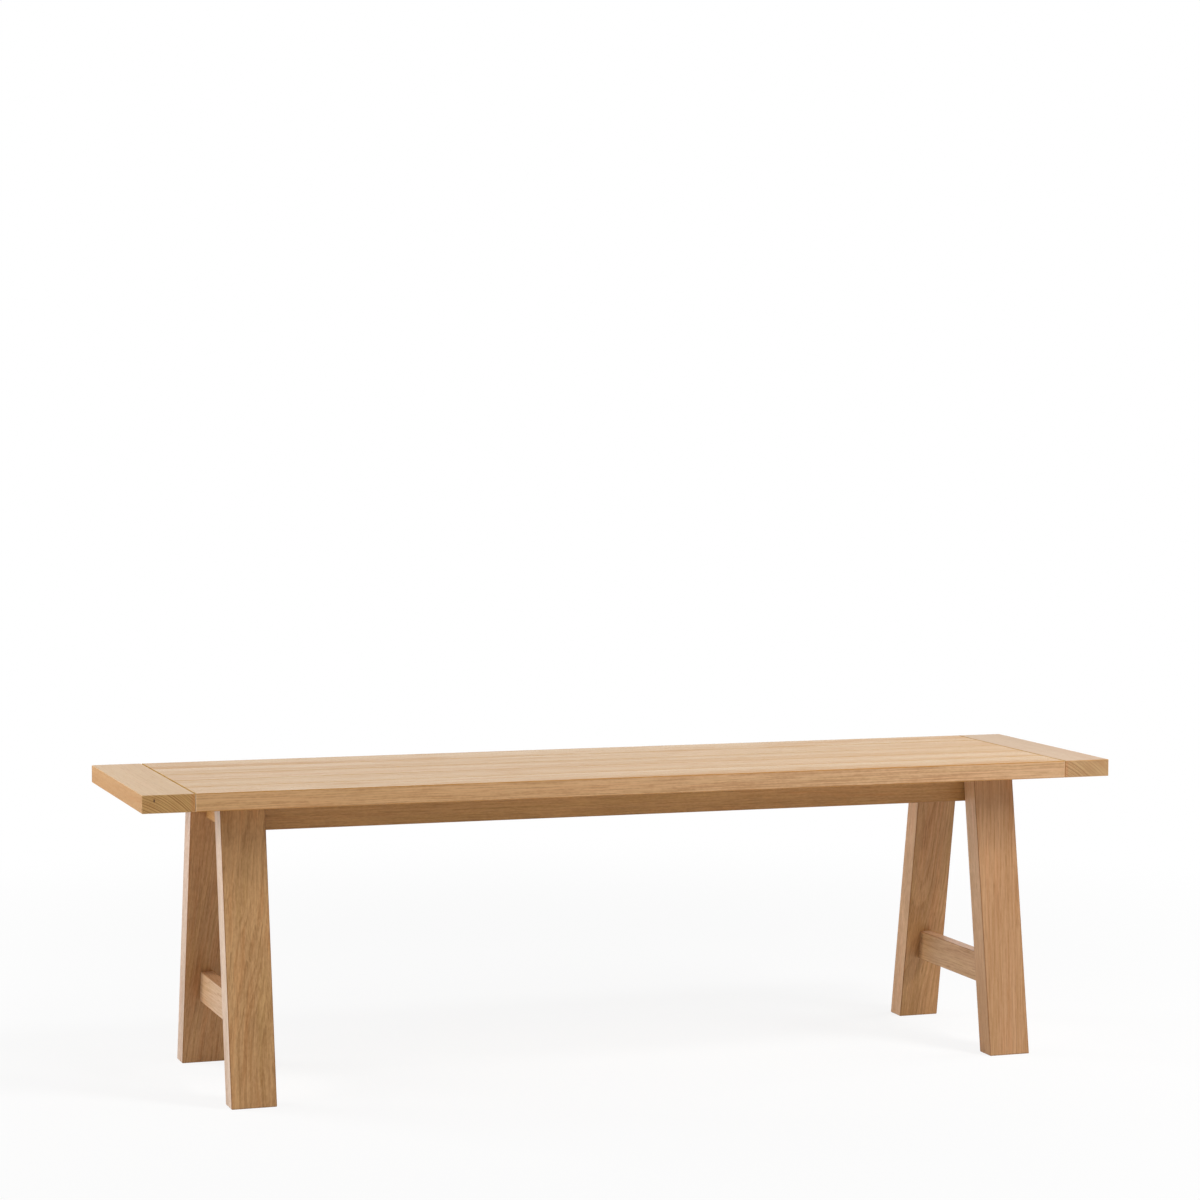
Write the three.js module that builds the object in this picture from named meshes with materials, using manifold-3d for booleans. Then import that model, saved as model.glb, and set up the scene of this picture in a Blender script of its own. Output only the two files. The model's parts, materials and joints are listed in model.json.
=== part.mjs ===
// A trestle bench in solid oak. Five boards between two breadboard ends make the seat. It stands on two
// A-shaped trestles, and two long rails under the seat tie the trestles together.
// Lengths are in millimetres. +Z is up, X runs along the seat, and the front is at -Y.
// The origin is on the floor, under the middle of the seat.

import * as THREE from "three";
import { mergeVertices } from "three/addons/utils/BufferGeometryUtils.js";
import Module from "manifold-3d";

const wasm = await Module();
wasm.setup();

// Seat
const seatLength = 1600;
const seatDepth = 400;
const seatHeight = 480;
const seatThickness = 27.5;
const boardCount = 5;
const endBoardWidth = 80;
const seamGap = 0.2;
const seamEase = 0.4;
const endGrooveDepth = 1.3;

// Tongues that join the boards to each other and to the breadboard ends
const sideTongueThickness = 8;
const sideTongueDepth = 7;
const endTongueThickness = 9;
const endTongueLength = 22;
const endTongueSetback = 20;

// Pegs through the end tongues, in slots that let the boards shrink and swell
const pegRadius = 4;
const pegCover = 5;
const pegTravel = 2;

// Trestles
const trestleOverhang = 135;
const legWidth = 70;
const legThickness = 38.5;
const legLeanDegrees = 9.5;
const footInset = 5;

// Rails and stretchers
const railThickness = 20;
const railHeight = 48;
const stretcherHeight = 48;
const stretcherRise = 103.5;
const tenonThickness = 10;
const tenonShoulder = 8;
const tenonLength = 25;
const railLegClearance = 0.5;

// Bolts, barrel nuts and dowels between the trestles and the long rails
const boltRadius = 3;
const boltHeadRadius = 7.5;
const boltHeadThickness = 2.6;
const boltHeadEase = 0.9;
const boltSocketRadius = 2.3;
const boltSocketDepth = 1.8;
const boltTip = 1;
const boltPastNut = 8;
const nutRadius = 5;
const nutLength = 14;
const nutSetback = 30;
const nutSlotWidth = 1.6;
const nutSlotDepth = 1.2;
const dowelRadius = 4;
const dowelLength = 30;
const dowelInTrestle = 12;
const dowelOffset = 15;
const dowelEase = 1;

// Screws that hold the seat down, sunk into the rails from below
const screwRadius = 2.25;
const screwHeadRadius = 4.5;
const screwHeadThickness = 2.8;
const screwHeadEase = 1;
const screwInSeat = 16.5;
const screwInRail = 20;
const screwTip = 7;
const screwBoreRadius = 5.5;
const railScrewInset = 120;
const trestleScrewOffset = 25;

// Fits, cuts and edges
const fit = 0.3;
const overrun = 2;
const arris = 1.2;
const railArris = 0.8;
const mergeDistance = 0.0001;

// Facets
const arcSteps = 3;
const rodSides = 12;
const largeRodSides = 20;
const hexSides = 6;

// Places that follow from the sizes above
const lean = Math.tan(THREE.MathUtils.degToRad(legLeanDegrees));
const legSpan = legThickness / Math.cos(THREE.MathUtils.degToRad(legLeanDegrees));
const legOuterY = (z) => seatDepth / 2 - footInset - z * lean;
const legInnerY = (z) => legOuterY(z) - legSpan;
const seatUnderside = seatHeight - seatThickness;
const trestleTop = seatUnderside - fit;
const trestleX = seatLength / 2 - trestleOverhang - legWidth / 2;
const boardWidth = seatDepth / boardCount;
const boardY = (i) => i * boardWidth + boardWidth / 2 - seatDepth / 2;
const endJointX = seatLength / 2 - endBoardWidth;
const boardEndX = endJointX - fit;
const pegX = endJointX + endTongueLength / 2;
const pegLength = seatThickness - pegCover;
const railMiddleZ = trestleTop - railHeight / 2;
const railY = legInnerY(trestleTop) - railLegClearance - railThickness / 2;
const railLength = 2 * (trestleX - railThickness / 2 - fit);
const nutX = railThickness / 2 + fit + nutSetback;
const boltEndX = nutX + boltPastNut;
const dowelStartX = railThickness / 2 - dowelInTrestle;
const railScrewXs = [railScrewInset - railLength / 2, 0, railLength / 2 - railScrewInset];
const screwSeatZ = trestleTop - screwInRail;
const screwTipZ = seatUnderside + screwInSeat;

const oak = (colour) => new THREE.MeshStandardMaterial({ color: colour, roughness: 0.55, metalness: 0 });
const seatOak = oak(0xd8b58a);
const frameOak = oak(0xb88d5e);
const beech = new THREE.MeshStandardMaterial({ color: 0xd9bd92, roughness: 0.6, metalness: 0 });
const zinc = new THREE.MeshStandardMaterial({ color: 0xb9bcc0, roughness: 0.35, metalness: 1 });

// Turns that lay an extruded outline, drawn in X and Y, along another axis
const axisX = new THREE.Vector3(1, 0, 0);
const axisY = new THREE.Vector3(0, 1, 0);
const axisZ = new THREE.Vector3(0, 0, 1);
const alongX = new THREE.Matrix4().makeBasis(axisY, axisZ, axisX);
const alongY = new THREE.Matrix4().makeBasis(axisZ, axisX, axisY);
const alongZ = new THREE.Matrix4();

// The closed solid of a geometry, without the triangles that have shrunk to a line or a point
function solid(geometry) {
  const bare = geometry.clone();
  bare.deleteAttribute("normal");
  bare.deleteAttribute("uv");
  const merged = mergeVertices(bare, mergeDistance);
  const triangles = [];
  for (let i = 0; i < merged.index.count; i += 3) {
    const triangle = merged.index.array.slice(i, i + 3);
    if (new Set(triangle).size === 3) triangles.push(...triangle);
  }
  const made = new wasm.Mesh({
    numProp: 3,
    vertProperties: merged.attributes.position.array,
    triVerts: new Uint32Array(triangles),
  });
  return new wasm.Manifold(made);
}

function geometryOf(made) {
  const mesh = made.getMesh();
  const shared = new THREE.BufferGeometry();
  shared.setAttribute("position", new THREE.BufferAttribute(mesh.vertProperties, 3));
  shared.setIndex(new THREE.BufferAttribute(mesh.triVerts, 1));
  const faceted = shared.toNonIndexed();
  faceted.computeVertexNormals();
  return faceted;
}

const cut = (body, tools) => tools.reduce((left, tool) => left.subtract(tool), body);

// The arc of the given radius that rounds one corner of an outline
function cornerArc(corners, i, radius) {
  const here = new THREE.Vector2(...corners[i]);
  const before = new THREE.Vector2(...corners.at(i - 1)).sub(here).normalize();
  const after = new THREE.Vector2(...corners[(i + 1) % corners.length]).sub(here).normalize();
  const half = Math.acos(before.dot(after)) / 2;
  const centre = before.clone().add(after).setLength(radius / Math.sin(half)).add(here);
  const start = here.clone().addScaledVector(before, radius / Math.tan(half));
  const sweep = (Math.PI - 2 * half) * Math.sign(after.cross(before));
  return { centre, from: start.sub(centre).angle(), sweep };
}

const arcPoints = ({ centre, from, sweep }, radius) =>
  Array.from({ length: arcSteps + 1 }, (_, step) => {
    const angle = from + (sweep * step) / arcSteps;
    return new THREE.Vector2(Math.cos(angle), Math.sin(angle)).multiplyScalar(radius).add(centre);
  });

// A closed outline through the corners, each rounded by its own radius, or sharp where that is zero
function easedOutline(corners, radii) {
  const points = corners.flatMap((corner, i) => {
    if (radii[i] === 0) return [new THREE.Vector2(...corner)];
    return arcPoints(cornerArc(corners, i, radii[i]), radii[i]);
  });
  return new THREE.Shape(points);
}

const rectangle = (width, height) => [
  [-width / 2, -height / 2],
  [width / 2, -height / 2],
  [width / 2, height / 2],
  [-width / 2, height / 2],
];

// A bar of the given shape, centred on its length
function bar(shape, length, turn) {
  const made = new THREE.ExtrudeGeometry(shape, { depth: length, bevelEnabled: false, steps: 1 });
  return solid(made.translate(0, 0, -length / 2).applyMatrix4(turn));
}

// A bar between the given corners, centred on its length, with every edge and corner rounded. Its outlines
// share their arcs' centres. Towards each end the arcs shrink to those centres, where the flat face begins.
function easedBar(corners, length, radius, turn) {
  const arcs = corners.map((_, i) => cornerArc(corners, i, radius));
  const halfOutlines = Array.from({ length: arcSteps + 1 }, (_, step) => {
    const angle = (step / arcSteps) * (Math.PI / 2);
    const z = length / 2 - radius + radius * Math.cos(angle);
    return { z, points: arcs.flatMap((arc) => arcPoints(arc, radius * Math.sin(angle))) };
  });
  const lowerOutlines = halfOutlines.map(({ z, points }) => ({ z: -z, points }));
  return solid(loft([...lowerOutlines, ...halfOutlines.toReversed()]).applyMatrix4(turn));
}

// A closed skin over outlines of equal point counts at rising heights, with flat ends
function loft(outlines) {
  const count = outlines[0].points.length;
  const last = (outlines.length - 1) * count;
  const indices = [];
  for (let i = 0; i < count; i += 1) {
    const next = (i + 1) % count;
    indices.push(0, next, i, last, last + i, last + next);
    for (let row = 0; row < last; row += count) {
      indices.push(row + i, row + next, row + count + next, row + i, row + count + next, row + count + i);
    }
  }
  const made = new THREE.BufferGeometry();
  const places = outlines.flatMap(({ z, points }) => points.map(({ x, y }) => new THREE.Vector3(x, y, z)));
  made.setFromPoints(places);
  made.setIndex(indices);
  return made;
}

const sharpBar = (corners, length, turn) =>
  bar(new THREE.Shape(corners.map(([x, y]) => new THREE.Vector2(x, y))), length, turn);

// A block between its lowest and its highest corner
function block(low, high) {
  const size = high.map((value, i) => value - low[i]);
  const middle = high.map((value, i) => (value + low[i]) / 2);
  return solid(new THREE.BoxGeometry(...size).translate(...middle));
}

// A round rod from start to end along one axis
function rod(radius, start, end, turn, sides = rodSides) {
  const made = new THREE.CylinderGeometry(radius, radius, end - start, sides).rotateX(Math.PI / 2);
  return solid(made.translate(0, 0, (start + end) / 2).applyMatrix4(turn));
}

// A turned piece from pairs of radius and height
function turned(profile, turn, sides = rodSides) {
  const points = profile.map(([radius, height]) => new THREE.Vector2(radius, height));
  return new THREE.LatheGeometry(points, sides).rotateX(Math.PI / 2).applyMatrix4(turn);
}

function addPiece(name, made, material, parent) {
  const mesh = new THREE.Mesh(made.isBufferGeometry ? made : geometryOf(made), material);
  mesh.name = name;
  parent.add(mesh);
  return mesh;
}

function addGroup(parent) {
  const group = new THREE.Group();
  parent.add(group);
  return group;
}

const bench = new THREE.Group();

// Where the screws come up into the seat: three along each long rail, and two in each top rail
const ends = [
  { side: -1, name: "front" },
  { side: 1, name: "back" },
];
const trestles = [
  { side: -1, name: "left" },
  { side: 1, name: "right" },
];
const seatScrews = ends.flatMap((end) => [
  ...railScrewXs.map((x, i) => ({
    name: `seat_screw_${end.name}_${i + 1}`,
    x,
    y: end.side * railY,
  })),
  ...trestles.map((trestle) => ({
    name: `trestle_screw_${trestle.name}_${end.name}`,
    x: trestle.side * trestleX,
    y: end.side * trestleScrewOffset,
  })),
]);

// The pieces of the seat are drawn with their underside at z = 0. A board's groove faces the back, and the
// next board's tongue fills it.
function boardOutline(isFront, isBack) {
  const front = isFront ? -boardWidth / 2 : (seamGap - boardWidth) / 2;
  const back = isBack ? boardWidth / 2 : (boardWidth - seamGap) / 2;
  const low = (seatThickness - sideTongueThickness) / 2 - fit;
  const high = seatThickness - low;
  const bottom = back - sideTongueDepth - fit;
  const groove = isBack ? [] : [[back, low], [bottom, low], [bottom, high], [back, high]];
  const corners = [[front, 0], [back, 0], ...groove, [back, seatThickness], [front, seatThickness]];
  const frontEase = isFront ? arris : seamEase;
  const backEase = isBack ? arris : seamEase;
  return easedOutline(corners, [frontEase, backEase, ...groove.map(() => 0), backEase, frontEase]);
}

// Bars of diamond section that cut the V groove around the joint of the boards and a breadboard end
function endGroove(x, y) {
  const half = endGrooveDepth;
  const diamond = [[-half, 0], [0, -half], [half, 0], [0, half]];
  const across = sharpBar(diamond, seatDepth + 2 * overrun, alongY);
  const upright = sharpBar(diamond, seatThickness + 2 * overrun, alongZ);
  return [
    ...[0, seatThickness].map((z) => across.translate([x, y, z])),
    ...[-seatDepth / 2, seatDepth / 2].map((edge) => upright.translate([x, y + edge, seatThickness / 2])),
  ];
}

// The hole of a peg in a board's end tongue, long enough for the board to move in by the travel each way
function pegHole(travel) {
  const radius = pegRadius + fit;
  if (travel === 0) return rod(radius, 0, seatThickness, alongZ);
  const shape = new THREE.Shape();
  shape.absarc(0, travel, radius, 0, Math.PI);
  shape.absarc(0, -travel, radius, Math.PI, 2 * Math.PI);
  return bar(shape, 2 * seatThickness, alongZ);
}

function seatBoard(i) {
  const isFront = i === 0;
  const isBack = i === boardCount - 1;
  const middleZ = seatThickness / 2;
  const tongueFront = isFront ? endTongueSetback - boardWidth / 2 : (seamGap - boardWidth) / 2;
  const tongueBack = isBack ? boardWidth / 2 - endTongueSetback : (boardWidth - seamGap) / 2;
  const endTongues = [[-boardEndX - endTongueLength, -boardEndX], [boardEndX, boardEndX + endTongueLength]]
    .map(([start, end]) => block(
      [start, tongueFront, middleZ - endTongueThickness / 2],
      [end, tongueBack, middleZ + endTongueThickness / 2],
    ));
  const front = (seamGap - boardWidth) / 2;
  const sideTongues = isFront ? [] : [block(
    [fit - boardEndX, front - sideTongueDepth, middleZ - sideTongueThickness / 2],
    [boardEndX - fit, front + overrun, middleZ + sideTongueThickness / 2],
  )];
  const body = [...endTongues, ...sideTongues].reduce(
    (joined, tongue) => joined.add(tongue),
    bar(boardOutline(isFront, isBack), 2 * boardEndX, alongX),
  );
  const travel = 2 * i === boardCount - 1 ? 0 : pegTravel;
  const pilots = seatScrews.map(({ x, y }) =>
    rod(screwRadius + fit, -overrun, screwInSeat + fit, alongZ).translate([x, y - boardY(i), 0]));
  return cut(body, [
    ...endGroove(-endJointX, -boardY(i)),
    ...endGroove(endJointX, -boardY(i)),
    ...[-pegX, pegX].map((x) => pegHole(travel).translate([x, 0, 0])),
    ...pilots,
  ]);
}

// The right breadboard end, centred on its own width
function endBoard() {
  const jointX = -endBoardWidth / 2;
  const middleZ = seatThickness / 2;
  const body = easedBar(rectangle(seatThickness, endBoardWidth), seatDepth, arris, alongY);
  const halfGroove = endTongueThickness / 2 + fit;
  const grooveEndY = seatDepth / 2 - endTongueSetback + fit;
  const groove = block(
    [jointX - overrun, -grooveEndY, middleZ - halfGroove],
    [jointX + endTongueLength + fit, grooveEndY, middleZ + halfGroove],
  );
  const hole = rod(pegRadius + fit, -overrun, pegLength + fit, alongZ);
  const holes = Array.from({ length: boardCount }, (_, i) =>
    hole.translate([jointX + pegX - endJointX, boardY(i), 0]));
  return cut(body.translate([0, 0, middleZ]), [groove, ...holes, ...endGroove(jointX, 0)]);
}

function dowel(radius, length, turn) {
  return turned([
    [0, 0],
    [radius - dowelEase, 0],
    [radius, dowelEase],
    [radius, length - dowelEase],
    [radius - dowelEase, length],
    [0, length],
  ], turn);
}

function addSeat() {
  const seat = addGroup(bench);
  seat.position.z = seatUnderside;
  for (let i = 0; i < boardCount; i += 1) {
    const board = addPiece(`seat_board_${i + 1}`, seatBoard(i), seatOak, seat);
    board.position.y = boardY(i);
  }
  for (const { side, name } of trestles) {
    const end = addPiece(`breadboard_end_${name}`, endBoard(), seatOak, seat);
    end.position.x = side * (endJointX + endBoardWidth / 2);
    end.rotation.z = side < 0 ? Math.PI : 0;
    for (let i = 0; i < boardCount; i += 1) {
      const made = dowel(pegRadius, pegLength, alongZ);
      const peg = addPiece(`breadboard_peg_${name}_${i + 1}`, made, beech, seat);
      peg.position.set(side * pegX, boardY(i), 0);
    }
  }
}

// The front leg of a trestle seen from the bench's end, in Y and Z, cut level at the floor and at the seat
const legOutline = [
  [-legOuterY(0), 0],
  [-legInnerY(0), 0],
  [-legInnerY(trestleTop), trestleTop],
  [-legOuterY(trestleTop), trestleTop],
];

// The outline of a bar between the legs of a trestle. Its ends lie past the legs' inner faces by the reach.
function betweenLegs(low, high, reach) {
  const end = (z) => legInnerY(z) + reach;
  return [[-end(low), low], [end(low), low], [end(high), high], [-end(high), high]];
}

const topRailLow = trestleTop - railHeight;
const crossBars = [
  [topRailLow, trestleTop],
  [stretcherRise, stretcherRise + stretcherHeight],
];

function leg() {
  const mortises = crossBars.map(([low, high]) => {
    const opening = betweenLegs(low + tenonShoulder - fit, high - tenonShoulder + fit, tenonLength + fit);
    return sharpBar(opening, tenonThickness + 2 * fit, alongX);
  });
  return cut(easedBar(legOutline, legWidth, arris, alongX), mortises);
}

// A bar between the legs, with its ends cut to their lean and a tenon on each
function crossBar([low, high]) {
  const body = easedBar(betweenLegs(low, high, -fit), railThickness, railArris, alongX);
  const tenons = betweenLegs(low + tenonShoulder, high - tenonShoulder, tenonLength);
  return body.add(sharpBar(tenons, tenonThickness, alongX));
}

// The holes of a joint between a top rail and a long rail. The joint's origin is the middle of the top rail,
// and the long rail lies at +X.
const jointDowels = [-dowelOffset, dowelOffset];

function jointHoles(x, y, z) {
  const bolt = rod(boltRadius + fit, -railThickness, boltEndX + fit, alongX);
  const dowelEndX = dowelStartX + dowelLength;
  const dowelHole = rod(dowelRadius + fit, dowelStartX - fit, dowelEndX + fit, alongX);
  const dowels = jointDowels.map((offset) => dowelHole.translate([0, 0, offset]));
  return [bolt, ...dowels].map((hole) => hole.translate([x, y, z]));
}

// The hole of a seat screw up through a rail, with the wide bore that its head sits in
const screwHole = (x, y, railLow, headSeat) =>
  rod(screwRadius + fit, railLow - overrun, railLow + railHeight + overrun, alongZ)
    .add(rod(screwBoreRadius, railLow - overrun, headSeat, alongZ))
    .translate([x, y, 0]);

function topRail() {
  return cut(crossBar(crossBars[0]), [
    ...[-railY, railY].flatMap((y) => jointHoles(0, y, railMiddleZ)),
    ...[-trestleScrewOffset, trestleScrewOffset].map((y) => screwHole(0, y, topRailLow, screwSeatZ)),
  ]);
}

// The front long rail, centred on its own middle, with the inside of the bench at +Y
function longRail() {
  const nutHole = rod(nutRadius + fit, -nutLength / 2 - fit, railThickness, alongY, largeRodSides)
    .translate([nutX - trestleX, 0, 0]);
  const joint = [nutHole, ...jointHoles(-trestleX, 0, 0)];
  return cut(easedBar(rectangle(railThickness, railHeight), railLength, railArris, alongX), [
    ...joint,
    ...joint.map((hole) => hole.mirror([1, 0, 0])),
    ...railScrewXs.map((x) => screwHole(x, 0, -railHeight / 2, screwSeatZ - railMiddleZ)),
  ]);
}

// A flat-headed bolt with a hexagon socket, laid with the underside of its head at x = 0
function railBolt() {
  const length = boltEndX + railThickness / 2 + fit;
  const body = turned([
    [0, -boltHeadThickness],
    [boltHeadRadius - boltHeadEase, -boltHeadThickness],
    [boltHeadRadius, boltHeadEase - boltHeadThickness],
    [boltHeadRadius, 0],
    [boltRadius, 0],
    [boltRadius, length - boltTip],
    [boltRadius - boltTip, length],
    [0, length],
  ], alongX, largeRodSides);
  const socketEnd = boltSocketDepth - boltHeadThickness;
  const socket = rod(boltSocketRadius, -boltHeadThickness - overrun, socketEnd, alongX, hexSides);
  return solid(body).subtract(socket);
}

// A barrel nut across the long rail, with its driver slot at +Y
function barrelNut() {
  const body = rod(nutRadius, -nutLength / 2, nutLength / 2, alongY, largeRodSides);
  const thread = rod(boltRadius + fit, -2 * nutRadius, 2 * nutRadius, alongX);
  const slot = block(
    [-2 * nutRadius, nutLength / 2 - nutSlotDepth, -nutSlotWidth / 2],
    [2 * nutRadius, nutLength / 2 + overrun, nutSlotWidth / 2],
  );
  return cut(body, [thread, slot]);
}

function addJoint(trestle, name, side) {
  const joint = addGroup(trestle);
  joint.position.set(0, side * railY, railMiddleZ);
  const bolt = addPiece(`rail_bolt_${name}`, railBolt(), zinc, joint);
  bolt.position.x = -railThickness / 2 - fit;
  const nut = addPiece(`barrel_nut_${name}`, barrelNut(), zinc, joint);
  nut.position.x = nutX;
  nut.rotation.z = side < 0 ? 0 : Math.PI;
  jointDowels.forEach((offset, i) => {
    const made = dowel(dowelRadius, dowelLength, alongX);
    const piece = addPiece(`rail_dowel_${name}_${i + 1}`, made, beech, joint);
    piece.position.set(dowelStartX, 0, offset);
  });
}

// The right trestle is the left one turned about, so its front leg is the left one's back leg
function addTrestle({ side, name }) {
  const trestle = addGroup(bench);
  trestle.position.x = side * trestleX;
  trestle.rotation.z = side < 0 ? 0 : Math.PI;
  addPiece(`top_rail_${name}`, topRail(), frameOak, trestle);
  addPiece(`stretcher_${name}`, crossBar(crossBars[1]), frameOak, trestle);
  for (const end of ends) {
    const ownSide = -side * end.side;
    const standing = addPiece(`leg_${name}_${end.name}`, leg(), frameOak, trestle);
    standing.rotation.z = ownSide < 0 ? 0 : Math.PI;
    addJoint(trestle, `${name}_${end.name}`, ownSide);
  }
}

function addLongRails() {
  for (const { side, name } of ends) {
    const rail = addPiece(`long_rail_${name}`, longRail(), frameOak, bench);
    rail.position.set(0, side * railY, railMiddleZ);
    rail.rotation.z = side < 0 ? 0 : Math.PI;
  }
}

// A wood screw, with the underside of its head at z = 0
function seatScrew() {
  const length = screwTipZ - screwSeatZ;
  return turned([
    [0, -screwHeadThickness],
    [screwHeadRadius - screwHeadEase, -screwHeadThickness],
    [screwHeadRadius, screwHeadEase - screwHeadThickness],
    [screwHeadRadius, 0],
    [screwRadius, 0],
    [screwRadius, length - screwTip],
    [0, length],
  ], alongZ);
}

function addSeatScrews() {
  for (const { name, x, y } of seatScrews) {
    const screw = addPiece(name, seatScrew(), zinc, bench);
    screw.position.set(x, y, screwSeatZ - fit);
  }
}

addSeat();
trestles.forEach(addTrestle);
addLongRails();
addSeatScrews();

export default bench;
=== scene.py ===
import json
import math

import bpy
from mathutils import Euler, Matrix, Vector


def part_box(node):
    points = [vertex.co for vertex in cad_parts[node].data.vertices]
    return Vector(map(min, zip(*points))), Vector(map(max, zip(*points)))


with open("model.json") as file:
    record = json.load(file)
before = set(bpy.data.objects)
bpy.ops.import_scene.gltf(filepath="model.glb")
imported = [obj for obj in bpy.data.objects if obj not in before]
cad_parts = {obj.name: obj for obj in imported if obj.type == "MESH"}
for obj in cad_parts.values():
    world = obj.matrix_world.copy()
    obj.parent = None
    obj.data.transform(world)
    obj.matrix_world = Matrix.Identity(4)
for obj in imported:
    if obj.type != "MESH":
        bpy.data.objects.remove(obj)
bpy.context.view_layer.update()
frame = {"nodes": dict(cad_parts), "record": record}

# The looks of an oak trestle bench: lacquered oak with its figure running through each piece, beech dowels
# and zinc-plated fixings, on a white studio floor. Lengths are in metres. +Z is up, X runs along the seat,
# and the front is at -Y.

MM = 0.001

# Camera, fitted to the bench's straight edges in the photograph
CAMERA_PLACE = Vector((-1.744, -4.894, 1.090))
CAMERA_YAW = math.radians(19.46)
CAMERA_PITCH = math.radians(3.83)
CAMERA_ROLL = math.radians(0.30)
CAMERA_LENS_MM = 97.1
SENSOR_MM = 36.0

# Bench
UP = Vector((0, 0, 1))
ALONG_BENCH = Vector((1, 0, 0))
ACROSS_BENCH = Vector((0, 1, 0))
LEG_LEAN = math.radians(9.5)
BOARD_COUNT = 5
END_JOINT_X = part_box("breadboard_end_right")[0].x
SEAT_HALF_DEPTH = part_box("breadboard_end_right")[1].y
BOARD_HALF_WIDTH = SEAT_HALF_DEPTH / BOARD_COUNT
UNDER_SEAT_SPECULAR = 0.35

# The lines of finish along the joints: the distances from the joint at which they are full and gone
END_LINE_FULL, END_LINE_GONE = 1.2 * MM, 2.2 * MM
END_STAIN_FULL, END_STAIN_GONE = 5.0 * MM, 7.0 * MM
BOARD_LINE_FULL, BOARD_LINE_GONE = 1.2 * MM, 2.4 * MM
BOARD_LINE_SHARE = 0.8

# The pin knot in the front of the left breadboard end
KNOT_FROM_END = 18.3 * MM
KNOT_UNDER_TOP = 8.4 * MM
KNOT_HALF_SIZE = Vector((1.2, 10.0, 2.8)) * MM

FLOAT, VECTOR, COLOUR = "NodeSocketFloat", "NodeSocketVector", "NodeSocketColor"


# Shader nodes

def plug(tree, socket, value):
    if isinstance(value, bpy.types.NodeSocket):
        tree.links.new(value, socket)
    else:
        socket.default_value = value


def add(tree, kind, inputs=None, **settings):
    """A node with its settings made, and each named or numbered input linked or given its value."""
    made = tree.nodes.new(kind)
    for name, value in settings.items():
        setattr(made, name, value)
    for name, value in (inputs or {}).items():
        plug(tree, made.inputs[name], value)
    return made


def maths(tree, operation, *values, clamp=False):
    made = add(tree, "ShaderNodeMath", dict(enumerate(values)), operation=operation, use_clamp=clamp)
    return made.outputs[0]


def vectors(tree, operation, *values):
    return add(tree, "ShaderNodeVectorMath", dict(enumerate(values)), operation=operation).outputs["Vector"]


def measure(tree, operation, *values):
    return add(tree, "ShaderNodeVectorMath", dict(enumerate(values)), operation=operation).outputs["Value"]


def cloud(tree, place, cycles, detail=2.0, roughness=0.5):
    """Noise with its own number of cycles per metre along each axis of the piece."""
    stretched = vectors(tree, "MULTIPLY", place, cycles)
    return add(tree, "ShaderNodeTexNoise", {
        "Vector": stretched, "Scale": 1.0, "Detail": detail, "Roughness": roughness}).outputs


def ramp(tree, value, low, high, out_low=0.0, out_high=1.0):
    return add(tree, "ShaderNodeMapRange", {
        "Value": value, "From Min": low, "From Max": high, "To Min": out_low, "To Max": out_high,
    }, interpolation_type="SMOOTHSTEP").outputs["Result"]


def blend(tree, share, first, second, way="MIX"):
    made = add(tree, "ShaderNodeMix", data_type="RGBA", blend_type=way)
    for number, value in ((0, share), (6, first), (7, second)):
        plug(tree, made.inputs[number], value)
    return made.outputs[2]


def new_group(name, inputs, outputs):
    """An empty shader group with its sockets, and the nodes that they come in and go out by."""
    tree = bpy.data.node_groups.new(name, "ShaderNodeTree")
    for socket_name, socket_type, value in inputs:
        socket = tree.interface.new_socket(socket_name, in_out="INPUT", socket_type=socket_type)
        if value is not None:
            socket.default_value = value
    for socket_name, socket_type in outputs:
        tree.interface.new_socket(socket_name, in_out="OUTPUT", socket_type=socket_type)
    return tree, tree.nodes.new("NodeGroupInput").outputs, tree.nodes.new("NodeGroupOutput").inputs


def use_group(tree, group, inputs):
    made = add(tree, "ShaderNodeGroup", node_tree=group)
    for name, value in inputs.items():
        plug(tree, made.inputs[name], value)
    return made.outputs


# Effects that the materials share. In each of them, Place and Normal are a piece's own: X runs along its
# grain, Y across its wide face, and Z out of it.

FIGURE_MASKS = ("Rings", "Pores", "Flecks", "Streaks", "Fibre", "Dashes", "Warmth", "Drift")
CUT_NAMES = ("End Grain", "Narrow", "Arris", "End Arris")

# How fine each part of the figure is, in cycles per metre along the grain and across it
SLOW_SWAY_CYCLES = (2.4, 8.0, 8.0)
QUICK_SWAY_CYCLES = (14.0, 45.0, 45.0)
PORE_CYCLES = (30.0, 620.0, 620.0)
RAY_CYCLES = (70.0, 620.0, 70.0)
STREAK_CYCLES = (1.3, 34.0, 34.0)
FIBRE_CYCLES = (11.0, 400.0, 400.0)
DASH_CYCLES = (130.0, 430.0, 430.0)
WARMTH_CYCLES = (3.5, 75.0, 75.0)
DRIFT_CYCLES = (6.0, 28.0, 28.0)
QUICK_SWAY = Vector((0, 2.4, 2.4)) * MM  # twice how far the quick sway moves the wood to either side

# Growth rings: how fast the weather changes, in cycles per year, how many years it shifts a ring, the spans
# of a year in which the porous early wood fades and comes, how strongly the faintest year shows, and the
# share of pores in late wood
WEATHER_CYCLES = 0.35
WEATHER_SHIFT = 2.2
EARLY_WOOD_FADES = (0.02, 0.50)
EARLY_WOOD_COMES = (0.90, 1.00)
FAINTEST_YEAR = 0.40
LATE_WOOD_PORES = 0.3

# The spans of a noise over which each part of the figure goes from none to full
PORE_SPAN = (0.52, 0.66)
RAY_SPAN = (0.55, 0.72)
WARM_SPAN = (0.50, 0.64)
OLIVE_SPAN = (0.50, 0.36)
DRIFT_SPAN = (0.45, 0.66)
HALF_SPANS = {"Streaks": 0.18, "Fibre": 0.14, "Dashes": 0.16}

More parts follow.
